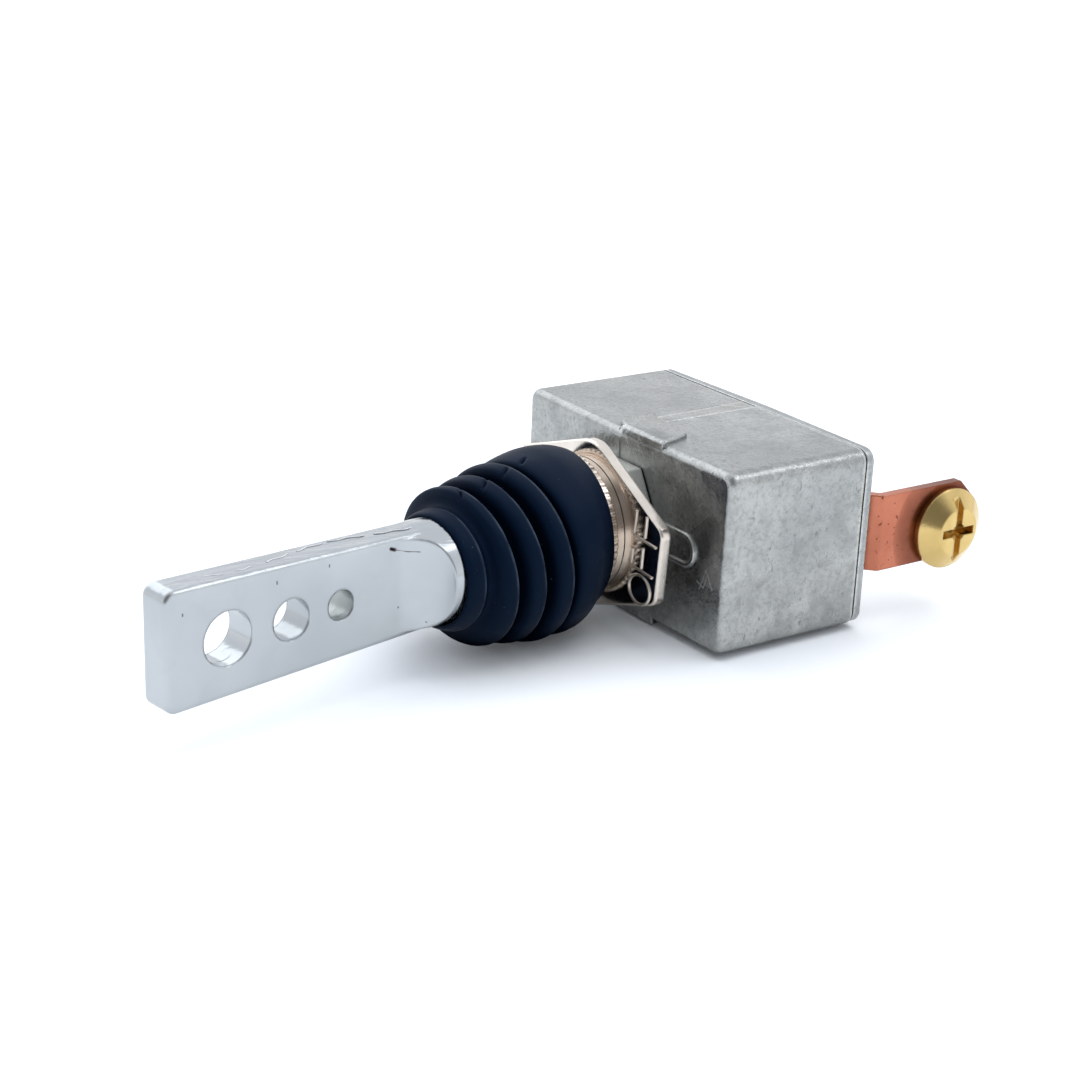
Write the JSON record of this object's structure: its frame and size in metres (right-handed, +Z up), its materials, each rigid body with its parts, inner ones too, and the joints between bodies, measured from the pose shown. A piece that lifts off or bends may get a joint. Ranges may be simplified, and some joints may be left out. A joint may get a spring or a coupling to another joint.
{
  "type": "sealed toggle switch",
  "caption": "Heavy-duty on-off toggle switch with a die-cast case, bellows boot, flat drilled lever and strip terminals.",
  "frame": {"origin": "centre of the bushing axis on the panel face of the case", "axes": "+X along the case towards its OFF end, -Y out of the panel face along the bushing, +Z up as the switch lies in the picture, along the lever's pivot pin"},
  "size_m": [0.055, 0.1288, 0.0282],
  "materials": {
    "zinc_casting": "as-cast zinc, lightly tarnished",
    "cover_metal": "smooth grey cast zinc",
    "nut_steel": "zinc plated",
    "bushing_metal": "turned and plated",
    "plate_nickel": "bright nickel",
    "ring_nickel": "bright nickel",
    "boot_rubber": "matte moulded rubber, blue-black",
    "lever_chrome": "polished chrome plate",
    "pin_steel": "ground steel",
    "spring_steel": "spring wire",
    "plunger_fibre": "hard fibre",
    "rocker_brass": "plain brass",
    "contact_silver": "silver",
    "terminal_copper": "bare copper strip",
    "screw_brass": "bright brass",
    "base_phenolic": "moulded phenolic",
    "gasket_fibre": "black fibre sheet",
    "stop_fibre": "red fibre",
    "cover_screw_steel": "zinc plated"
  },
  "bodies": {
    "case": {"housing": "zinc_casting", "bushing": "bushing_metal", "pivot_pin": "pin_steel", "back_nut": "nut_steel", "legend_plate": "plate_nickel", "ring_nut": "ring_nickel", "boot": "boot_rubber", "fixed_contact": "contact_silver", "rocker_stop": "stop_fibre", "rocker_pin": "pin_steel", "fulcrum_bracket": "terminal_copper", "terminal_right": "terminal_copper", "terminal_left": "terminal_copper", "terminal_screws": "screw_brass", "insulating_base": "base_phenolic", "cover_gasket": "gasket_fibre", "rear_cover": "cover_metal", "cover_screws": "cover_screw_steel"},
    "lever": {"lever": "lever_chrome", "plunger_spring": "spring_steel"},
    "plunger": {"plunger": "plunger_fibre"},
    "rocker": {"rocker": "rocker_brass", "moving_contact": "contact_silver"}
  },
  "joints": [
    {"name": "lever_tilt", "type": "hinge", "parent": "case", "child": "lever", "pos_m": [0, -0.001, 0], "axis": [0, 0, 1], "range_deg": [-20.7, 0], "deforming": ["boot"]},
    {"name": "plunger_slide", "type": "slide", "parent": "lever", "child": "plunger", "axis": [0.1797, -0.9837, 0.0061], "range_m": [0, 0.0008], "stiffness_N_per_m": 400, "springref_m": -0.002, "deforming": ["plunger_spring"]},
    {"name": "rocker_tilt", "type": "hinge", "parent": "case", "child": "rocker", "pos_m": [0, 0.0152, 0], "axis": [0, 0, 1], "range_deg": [0, 16]}
  ],
  "couplings": [
    {"joint": "rocker_tilt", "follows": "lever_tilt", "ratio": -0.7729}
  ]
}
